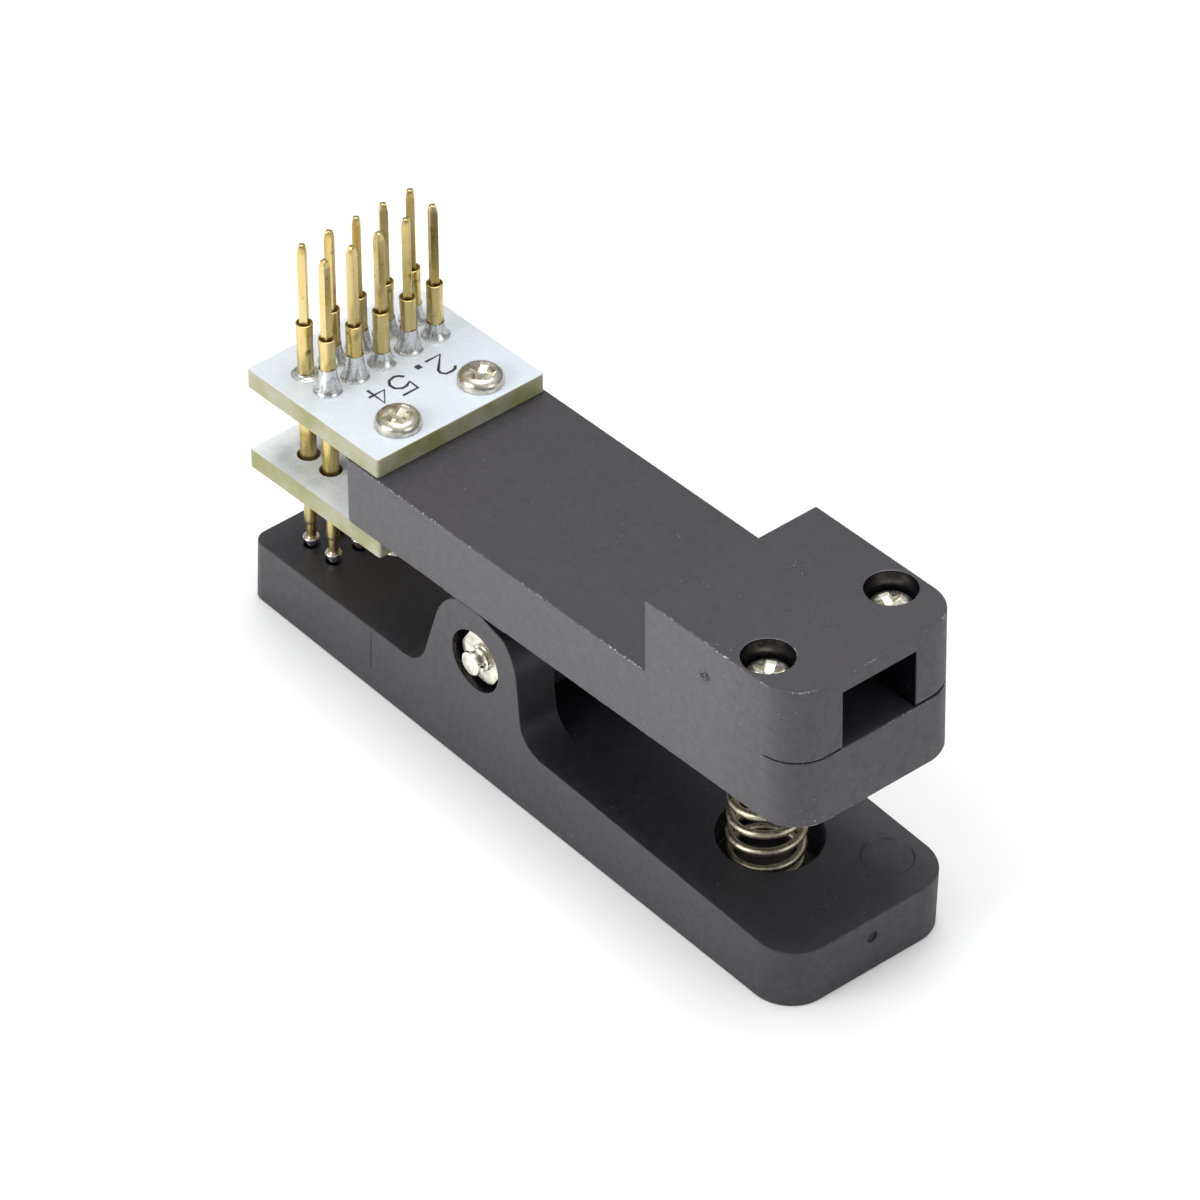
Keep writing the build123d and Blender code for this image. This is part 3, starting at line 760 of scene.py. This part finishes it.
class CLIP_OT_print(ClipOperator, bpy.types.Operator):
    """Print the pitch number on the upper board"""

    bl_idname = "clip.pitch_print"
    bl_label = "Pitch print"

    def make(self):
        place = sizes()
        curve = bpy.data.curves.new("pitch_strokes", "CURVE")
        curve.dimensions = "3D"
        curve.bevel_depth = place.print_width / 2
        curve.bevel_resolution = 3
        curve.use_fill_caps = True
        for stroke in STROKES:
            spline = curve.splines.new("POLY")
            spline.points.add(len(stroke) - 1)
            for point, (across, along) in zip(spline.points, stroke):
                point.co = (along * MM, -across * MM, 0, 1)
        drawn = bpy.data.objects.new("pitch_strokes", curve)
        mesh = bpy.data.meshes.new_from_object(drawn)
        bpy.data.objects.remove(drawn)
        bpy.data.curves.remove(curve)
        bm = bmesh.new()
        bm.from_mesh(mesh)
        bpy.data.meshes.remove(mesh)
        across, along, side = POINT
        centre = Matrix.Translation((along * MM, -across * MM, 0))
        bmesh.ops.create_cube(bm, size=side * MM, matrix=centre)
        flat = Matrix.Diagonal((1, 1, place.print_height / place.print_width, 1))
        lifted = Matrix.Translation((0, 0, place.board_top + place.print_height / 2))
        turned(bm, on_lever() @ lifted @ flat)
        finished("pitch_print", bm, (printed_ink(),), "arm", ())


# Screws and nuts


def cross_recess(bm, top, reach, half, depth):
    for distance in (half, reach):
        for normal in (Vector((1, 0, 0)), Vector((0, 1, 0))):
            for side in (distance, -distance):
                split_at(bm, normal * side, normal)
    bm.normal_update()

    def inside(face):
        middle = face.calc_center_median()
        long, short = sorted((abs(middle.x), abs(middle.y)), reverse=True)
        return short < half and long < reach and face.normal.z > 0.5 and middle.z > top / 2

    faces = [face for face in bm.faces if inside(face)]
    made = bmesh.ops.extrude_face_region(bm, geom=faces)
    bmesh.ops.delete(bm, geom=faces, context="FACES")
    narrowed = 0.82
    for item in made["geom"]:
        if isinstance(item, bmesh.types.BMVert):
            slope = max(abs(item.co.x), abs(item.co.y)) / reach
            item.co.z = top - depth * (1.0 - 0.55 * slope)
            item.co.xy *= narrowed


def pan_head(radius, height):
    profile = [(0.0, 0.0), (radius * 0.96, 0.0), (radius, height * 0.06)]
    for step in range(9):
        turn = radians(90 * step / 8)
        level = height * (0.30 + 0.70 * sin(turn) ** 0.9)
        profile.append((radius * (0.55 + 0.45 * cos(turn)), level))
    profile.append((0.0, height))
    bm = spun(profile, steps=48)
    spokes = [edge for edge in bm.edges if edge.calc_length() > radius * 0.3]
    bmesh.ops.subdivide_edges(bm, edges=spokes, cuts=1)
    cross_recess(bm, height, reach=radius * 0.64, half=radius * 0.22, depth=height * 0.5)
    for turn in (45, 135, 225, 315):
        spot = Vector((cos(radians(turn)), sin(radians(turn)))) * radius * 0.55
        for vert in bm.verts:
            if vert.co.z > height * 0.8 and (vert.co.xy - spot).length < radius * 0.12:
                vert.co.z -= height * 0.04
    bmesh.ops.recalc_face_normals(bm, faces=bm.faces)
    return bm


def threaded(radius, pitch, start, end, steps=24):
    bm = bmesh.new()
    root = radius - 0.55 * pitch
    shares = ((root, 0.0), (root, 0.12), (radius, 0.46), (radius, 0.58), (root, 0.92), (root, 1.0))
    outline = drawn_line(bm, [(reach, start + share * pitch) for reach, share in shares])
    helical(bm, outline, (end - start) / pitch - 1, pitch, steps)
    bmesh.ops.remove_doubles(bm, verts=bm.verts, dist=0.001 * MM)
    core = spun([(0, start), (root * 1.001, start), (root * 1.001, end), (0, end)], steps)
    return joined(bm, core)


def pan_screw(place, height):
    bm = pan_head(place.pan_radius, place.pan_height)
    shank = threaded(place.shank_radius, place.thread_pitch, -height, 0.0)
    blunt = ((0, 0.2 * MM), (0.6 * MM, 0.1 * MM), (0.8 * MM, 0), (0, 0))
    tip = spun([(radius, -height - past) for radius, past in blunt], steps=24)
    return joined(joined(bm, shank), tip)


class CLIP_OT_pan_screws(ClipOperator, bpy.types.Operator):
    """Make the four cross-recessed pan head screws of the block and the boards"""

    bl_idname = "clip.pan_screws"
    bl_label = "Pan head screws"

    def make(self):
        place = sizes()
        plain = nickel_plating("screw_nickel", tuple(finish().nickel), 0.24, 0.36, uneven=0.1)
        # The sunk screws take the lighter plating so their heads read lit down in their holes:
        # painted light.
        sunk = nickel_plating("sunk_nickel", tuple(finish().bright), 0.24, 0.36, uneven=0.7)
        boards = (place.board_screw_x, place.board_screw_y, place.board_top)
        block = (place.block_screw_x, place.block_screw_y, place.block_screw_seat)
        groups = (
            ("board_screws", plain, boards, place.board_shank, (20, 32)),
            ("block_screws", sunk, block, place.block_shank, (35, 80)),
        )
        for node, metal, (x, y, seat), height, turns in groups:
            bm = bmesh.new()
            for side, turn in zip((-1, 1), turns):
                spot = on_lever() @ Matrix.Translation((x, side * y, seat))
                spot = spot @ Matrix.Rotation(radians(turn), 4, "Z")
                joined(bm, turned(pan_screw(place, height), spot))
            finished(node + "_dressed", bm, (metal,), "arm", (node,))


class CLIP_OT_nuts(ClipOperator, bpy.types.Operator):
    """Finish the hinge nut and the board nuts"""

    bl_idname = "clip.nuts"
    bl_label = "Nuts"

    def make(self):
        place = sizes()
        metal = nickel_plating("nut_nickel", tuple(finish().bright), 0.24, 0.36)
        for node, body in (("pivot_nut", "base"), ("board_nuts", "arm")):
            bm = merged_copy(node)
            if node == "pivot_nut":
                rounded(bm, place.nut_corner, self.corner, segments=4, clamp=True)
            rounded(bm, place.nut_edge, clamp=True)
            finished(node + "_dressed", bm, (metal,), body, (node,), weighted=True)

    def corner(self, edge):
        first, second = [vert.co for vert in edge.verts]
        along = abs(first.y - second.y) > 0.5 * MM
        return along and (first.xz - Vector((0, sizes().pivot_height))).length > 1.5 * MM


class CLIP_OT_hinge_screw(ClipOperator, bpy.types.Operator):
    """Make the hinge screw with its thread showing past the nut"""

    bl_idname = "clip.hinge_screw"
    bl_label = "Hinge screw"

    def make(self):
        place = sizes()
        metal = nickel_plating("hinge_nickel", tuple(finish().bright), 0.2, 0.34)
        reach = place.hinge_reach
        bm = pan_head(place.hinge_head_radius, place.hinge_head_height)
        start = 0.3 * MM - reach
        joined(bm, threaded(place.shank_radius, place.thread_pitch, start, 0.0, steps=32))
        blunt = ((0.0, 0.0), (0.82, 0.0), (0.92, 0.06), (0.97, 0.2), (0.78, 0.42), (0.0, 0.42))
        joined(bm, spun([(radius * MM, height * MM - reach) for radius, height in blunt], steps=32))
        seat = Matrix.Translation((0, place.hinge_seat, place.pivot_height))
        turned(bm, seat @ Matrix.Rotation(radians(-90), 4, "X"))
        finished("pivot_screw_dressed", bm, (metal,), "base", ("pivot_screw",))


# Springs


def coil(radius, wire, runs, sides, steps):
    bm = bmesh.new()
    bmesh.ops.create_circle(bm, cap_ends=False, segments=sides, radius=wire)
    turned(bm, Matrix.Translation((radius, 0, 0)) @ Matrix.Rotation(radians(90), 4, "X"))
    last = bm.verts[:] + bm.edges[:]
    for turns, pitch in runs:
        last = helical(bm, last, turns, pitch, steps)
    bmesh.ops.holes_fill(bm, edges=[edge for edge in bm.edges if edge.is_boundary], sides=0)
    bmesh.ops.recalc_face_normals(bm, faces=bm.faces)
    return bm


class CLIP_OT_return_spring(ClipOperator, bpy.types.Operator):
    """Wind the return spring between the handles"""

    bl_idname = "clip.return_spring"
    bl_label = "Return spring"

    def make(self):
        place = sizes()
        rise = place.spring_top - place.spring_floor - 2 * place.spring_wire
        closed = 2.1 * place.spring_wire
        turns = (rise - 2 * closed) / place.spring_pitch
        runs = ((1.0, closed), (turns, place.spring_pitch), (1.0, closed))
        bm = coil(place.spring_radius, place.spring_wire, runs, sides=16, steps=48)
        side = -place.spring_play / 2
        low = (place.spring_x + side, side, place.spring_floor + place.spring_wire)
        turned(bm, Matrix.Translation(low) @ Matrix.Rotation(radians(200), 4, "Z"))
        wire = (spring_wire_finish(),)
        nodes = ("return_spring",)
        piece = finished("return_spring_coil", bm, wire, "base", nodes, smooth=60.0)
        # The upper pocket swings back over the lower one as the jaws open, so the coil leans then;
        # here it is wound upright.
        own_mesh(piece)


class CLIP_OT_probe_springs(ClipOperator, bpy.types.Operator):
    """Wind the small springs inside the probe barrels"""

    bl_idname = "clip.probe_springs"
    bl_label = "Probe springs"

    def make(self):
        place = sizes()
        metal = nickel_plating("probe_coil", tuple(finish().probe_wire), 0.25, 0.4)
        runs = ((20.0, place.probe_coil_pitch),)
        for pin, tag in zip(PINS, TAGS):
            bm = coil(place.probe_coil_radius, place.probe_coil_wire, runs, sides=5, steps=10)
            turned(bm, on_lever() @ Matrix.Translation(pin_place(pin, place.probe_coil_bottom)))
            name = "probe_coil_" + tag
            nodes = ("probe_spring_" + tag,)
            piece = finished(name, bm, (metal,), "arm", nodes, smooth=80.0)
            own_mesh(piece)


# Probes


def sleeve(place):
    outer = place.sleeve_radius
    inner = outer - place.sleeve_wall
    top = place.sleeve_top
    bottom = place.sleeve_bottom
    lip = 0.03 * MM
    # Crimp and flare of the upper end, in millimetres from the outer wall and the rim
    waist = ((0.0, -2.4), (-0.015, -1.9), (0.0, -1.4), (0.0, -0.7), (0.012, -0.25))
    profile = [(inner, bottom), (outer - lip, bottom), (outer, bottom + lip)]
    profile += [(outer + wide * MM, top + high * MM) for wide, high in waist]
    profile += [(outer + 0.012 * MM, top - lip), (outer - lip, top), (inner + lip, top)]
    profile += [(inner, top - lip), (inner, top - 0.45 * MM), (0.0, top - 0.5 * MM)]
    return spun(profile, steps=36)


def crimped(bm, place, start):
    reach = 0.3 * MM
    for index in range(3):
        turn = start + radians(120 * index)
        spot = Vector((cos(turn) * place.sleeve_radius, sin(turn) * place.sleeve_radius))
        for vert in bm.verts:
            away = (vert.co.xy - spot).length
            level = abs(vert.co.z - (place.sleeve_top - 1.9 * MM))
            if away < reach and level < 0.6 * MM:
                vert.co.xy *= 1.0 - 0.12 * (1 - away / reach)


def square_post(place, turn):
    bm = bmesh.new()
    foot = place.sleeve_top - 0.5 * MM
    bmesh.ops.create_circle(bm, cap_ends=True, segments=4, radius=place.post_side / 2 ** 0.5)
    turned(bm, Matrix.Translation((0, 0, foot)) @ Matrix.Rotation(radians(45), 4, "Z"))
    rise = place.post_top - foot
    top = bm.faces[:]
    height = 0.0
    width = 1.0
    for short, share in ((0.65, 1.0), (0.12, 0.74), (0.03, 0.62), (0.0, 0.48)):
        level = rise - short * MM
        made = bmesh.ops.extrude_face_region(bm, geom=top)
        bmesh.ops.delete(bm, geom=top, context="FACES_ONLY")
        verts = [item for item in made["geom"] if isinstance(item, bmesh.types.BMVert)]
        top = [item for item in made["geom"] if isinstance(item, bmesh.types.BMFace)]
        bmesh.ops.translate(bm, vec=(0, 0, level - height), verts=verts)
        bmesh.ops.scale(bm, vec=(share / width, share / width, 1), verts=verts)
        height = level
        width = share
    bmesh.ops.recalc_face_normals(bm, faces=bm.faces)
    upright = [
        edge
        for edge in bm.edges
        if abs(edge.verts[0].co.z - edge.verts[1].co.z) > 0.01 * MM
    ]
    bevelled(bm, upright, 0.05 * MM, segments=3, clamp=True)
    return turned(bm, Matrix.Rotation(radians(turn), 4, "Z"))


# Turns of the square posts in degrees, by row
POST_TURNS = {"a": (3, 15, 84, 48, 66), "b": (40, 32, 48, 60, 48)}


class CLIP_OT_receptacles(ClipOperator, bpy.types.Operator):
    """Make the ten gold receptacles with their square posts"""

    bl_idname = "clip.receptacles"
    bl_label = "Receptacles"

    def make(self):
        place = sizes()
        gold = gold_plating()
        for index, (pin, tag) in enumerate(zip(PINS, TAGS)):
            bm = sleeve(place)
            crimped(bm, place, radians(37 * index))
            row, column = pin
            joined(bm, square_post(place, POST_TURNS[row][column - 1]))
            turned(bm, on_lever() @ Matrix.Translation(pin_place(pin)))
            name = "receptacle_dressed_" + tag
            nodes = ("receptacle_" + tag,)
            finished(name, bm, (gold,), "arm", nodes, smooth=40.0, weighted=True)


class CLIP_OT_probes(ClipOperator, bpy.types.Operator):
    """Make the ten probe barrels and their plungers"""

    bl_idname = "clip.probes"
    bl_label = "Probes"

    def make(self):
        place = sizes()
        gold = gold_plating()
        bright = nickel_plating("probe_nickel", tuple(finish().tip), 0.12, 0.24)
        outer = place.barrel_radius
        bore = 0.43 * MM
        neck = 0.4 * MM
        mouth = place.barrel_mouth
        shoulder = mouth + 0.35 * MM
        top = place.barrel_top
        roof = top - 0.35 * MM
        profile = [
            (neck, mouth),
            (outer - 0.06 * MM, mouth),
            (outer - 0.03 * MM, mouth + 0.05 * MM),
            (outer, shoulder),
            (outer, top - 0.05 * MM),
            (outer - 0.05 * MM, top),
            (0.0, top),
            (0.0, roof),
            (bore, roof),
            (bore, shoulder),
            (neck, shoulder),
            (neck, mouth),
        ]
        for pin, tag in zip(PINS, TAGS):
            bm = spun(profile, steps=32)
            turned(bm, on_lever() @ Matrix.Translation(pin_place(pin)))
            name = "probe_barrel_dressed_" + tag
            nodes = ("probe_barrel_" + tag,)
            finished(name, bm, (gold,), "arm", nodes, smooth=40.0)
            bm = merged_copy("plunger_" + tag)
            rounded(bm, 0.02 * MM, segments=1)
            head = on_lever() @ pin_place(pin, place.head_shoulder)
            for face in bm.faces:
                face.material_index = 1 if face.calc_center_median().z > head.z + 0.04 * MM else 0
            name = "plunger_dressed_" + tag
            body = "tip_" + tag
            nodes = ("plunger_" + tag,)
            metals = (bright, gold)
            finished(name, bm, metals, body, nodes, smooth=40.0, weighted=True)


# Heights of the solder joints, with 1 for the usual one
SOLDER_SHARES = (1.22, 1.22, 0.68, 1.12, 0.75, 0.18, 0.95, 1.0, 0.85, 0.9)


class CLIP_OT_solder(ClipOperator, bpy.types.Operator):
    """Pour the ten solder joints on the upper board"""

    bl_idname = "clip.solder"
    bl_label = "Solder joints"

    def make(self):
        place = sizes()
        bm = bmesh.new()
        inner = place.sleeve_radius + 0.005 * MM
        foot = place.solder_radius
        for index, pin in enumerate(PINS):
            height = place.solder_height * SOLDER_SHARES[index]
            rim = 0.09 * MM
            profile = [(inner, 0.0), (foot, 0.0), (foot, 0.05 * MM), (foot - 0.06 * MM, rim)]
            for step in range(1, 11):
                share = step / 10
                curve = (1 - share) ** 2.2
                radius = inner + 0.05 * MM + (foot - 0.12 * MM - inner) * curve
                profile.append((radius, rim + (height - rim) * share))
            profile.append((inner, height))
            profile.append((inner, 0.0))
            joint = spun(profile, steps=40)
            for vert in joint.verts:
                seed = Vector((vert.co.x * 900, vert.co.y * 900, vert.co.z * 500 + 7.0 * index))
                if vert.co.z > 0.1 * MM and vert.co.xy.length > inner + 0.02 * MM:
                    push = 1.0 + 0.05 * noise.noise(seed)
                    vert.co.xy *= push
                    vert.co.z += 0.03 * MM * noise.noise(seed * 1.3)
            joined(bm, turned(joint, Matrix.Translation(pin_place(pin, place.board_top))))
        turned(bm, on_lever())
        tin = (soft_solder(),)
        finished("solder_bells", bm, tin, "arm", ("solder_joints",), smooth=50.0)


# Stage


class CLIP_OT_stage(ClipOperator, bpy.types.Operator):
    """Set the pale floor, the soft light and the camera"""

    bl_idname = "clip.stage"
    bl_label = "Stage"

    def make(self):
        scene = bpy.context.scene
        stage = scene.clip_stage
        self.make_floor(stage)
        self.make_lights(scene, stage)
        self.make_camera(scene, stage)

    def make_floor(self, stage):
        recipe = Recipe("pale_floor")
        paper = recipe.ramp(recipe.noise(40, 2.0), 0.3, 0.7)
        tone = tuple(stage.floor)
        pale = [min(1.0, 1.01 * channel) for channel in tone]
        recipe.colour(paper, tone, pale)
        recipe.set(Roughness=0.8, Specular_IOR_Level=0.2)
        axes = recipe.axes()
        front = recipe.ramp(axes["Y"], -28 * MM, -13 * MM, 1.0, 0.0)
        left = recipe.ramp(axes["X"], 18 * MM, 36 * MM, 1.0, 0.0)
        pool = recipe.maths("MULTIPLY", front, left)
        glow = recipe.ramp(pool, 0.0, 1.0, stage.floor_glow, stage.front_glow)
        recipe.link(glow, recipe.shader.inputs["Emission Strength"])
        recipe.set(Emission_Color=(1.0, 1.0, 1.0, 1.0))
        bm = bmesh.new()
        bmesh.ops.create_grid(bm, x_segments=4, y_segments=4, size=3.0)
        turned(bm, Matrix.Translation((0, 0, -0.02 * MM)))
        mesh = bpy.data.meshes.new("pale_floor")
        bm.to_mesh(mesh)
        bm.free()
        mesh.materials.append(recipe.material)
        floor = bpy.data.objects.new("pale_floor", mesh)
        bpy.context.scene.collection.objects.link(floor)

    def make_lights(self, scene, stage):
        scene.view_settings.view_transform = "Standard"
        world = bpy.data.worlds.new("studio")
        world.use_nodes = True
        nodes = world.node_tree.nodes
        way = nodes.new("ShaderNodeTexCoord")
        split = nodes.new("ShaderNodeSeparateXYZ")
        fade = nodes.new("ShaderNodeMapRange")
        fade.inputs["To Min"].default_value = stage.sky_side
        fade.inputs["To Max"].default_value = stage.sky_top
        links = world.node_tree.links
        links.new(way.outputs["Generated"], split.inputs["Vector"])
        links.new(split.outputs["Z"], fade.inputs["Value"])
        links.new(fade.outputs["Result"], nodes["Background"].inputs["Strength"])
        nodes["Background"].inputs["Color"].default_value = (1.0, 1.0, 1.0, 1.0)
        scene.world = world
        # Name, place and width in metres, and power in watts
        rows = (
            ("softbox_left", (-0.15, -0.60, 0.30), 0.45, 2.7),
            ("softbox_top", (-0.10, 0.10, 0.80), 0.5, 3.2),
            ("softbox_right", (0.55, 0.10, 0.28), 0.4, 0.7),
        )
        for name, position, width, power in rows:
            light = bpy.data.lights.new(name, "AREA")
            light.energy = power
            light.shape = "DISK"
            light.size = width
            lamp = bpy.data.objects.new(name, light)
            away = Vector(position) - Vector(stage.look_at)
            facing = away.to_track_quat("Z", "Y").to_matrix().to_4x4()
            lamp.matrix_world = Matrix.Translation(position) @ facing
            scene.collection.objects.link(lamp)

    def make_camera(self, scene, stage):
        turn, rise, roll = stage.azimuth, stage.elevation, stage.roll
        back = Vector((sin(turn) * cos(rise), -cos(turn) * cos(rise), sin(rise)))
        right = Vector((cos(turn), sin(turn), 0))
        up = back.cross(right)
        leaned_right = cos(roll) * right + sin(roll) * up
        leaned_up = cos(roll) * up - sin(roll) * right
        facing = Matrix((leaned_right, leaned_up, back)).transposed().to_4x4()
        lens = bpy.data.cameras.new("photo_view")
        lens.lens = stage.focal
        lens.sensor_width = 36.0
        lens.clip_start = 0.01
        lens.clip_end = 20.0
        camera = bpy.data.objects.new("photo_view", lens)
        eye = Vector(stage.look_at) + back * stage.distance
        camera.matrix_world = Matrix.Translation(eye) @ facing
        scene.collection.objects.link(camera)
        scene.camera = camera


# Panel and registration


OPERATORS = (
    CLIP_OT_mouldings,
    CLIP_OT_boards,
    CLIP_OT_print,
    CLIP_OT_pan_screws,
    CLIP_OT_nuts,
    CLIP_OT_hinge_screw,
    CLIP_OT_return_spring,
    CLIP_OT_probe_springs,
    CLIP_OT_receptacles,
    CLIP_OT_probes,
    CLIP_OT_solder,
    CLIP_OT_stage,
)


class CLIP_PT_panel(bpy.types.Panel):
    """The clip's pieces in the sidebar"""

    bl_idname = "CLIP_PT_panel"
    bl_label = "Pogo pin clip"
    bl_space_type = "VIEW_3D"
    bl_region_type = "UI"
    bl_category = "Clip"

    def draw(self, context):
        for operator in OPERATORS:
            self.layout.operator(operator.bl_idname)
        for group in (context.scene.clip_sizes, context.scene.clip_finish, context.scene.clip_stage):
            box = self.layout.box()
            for setting in group.bl_rna.properties.keys():
                if setting not in ("rna_type", "name"):
                    box.prop(group, setting)


GROUPS = (
    ("clip_sizes", ClipSizes),
    ("clip_finish", ClipFinish),
    ("clip_stage", StageSettings),
)


def register():
    for name, group in GROUPS:
        bpy.utils.register_class(group)
        setattr(bpy.types.Scene, name, bpy.props.PointerProperty(type=group))
    for operator in OPERATORS:
        bpy.utils.register_class(operator)
    bpy.utils.register_class(CLIP_PT_panel)


def unregister():
    bpy.utils.unregister_class(CLIP_PT_panel)
    for operator in reversed(OPERATORS):
        bpy.utils.unregister_class(operator)
    for name, group in reversed(GROUPS):
        delattr(bpy.types.Scene, name)
        bpy.utils.unregister_class(group)


def main():
    register()
    for operator in OPERATORS:
        group, name = operator.bl_idname.split(".")
        getattr(getattr(bpy.ops, group), name)()
    bpy.context.view_layer.update()


if __name__ == "__main__":
    main()
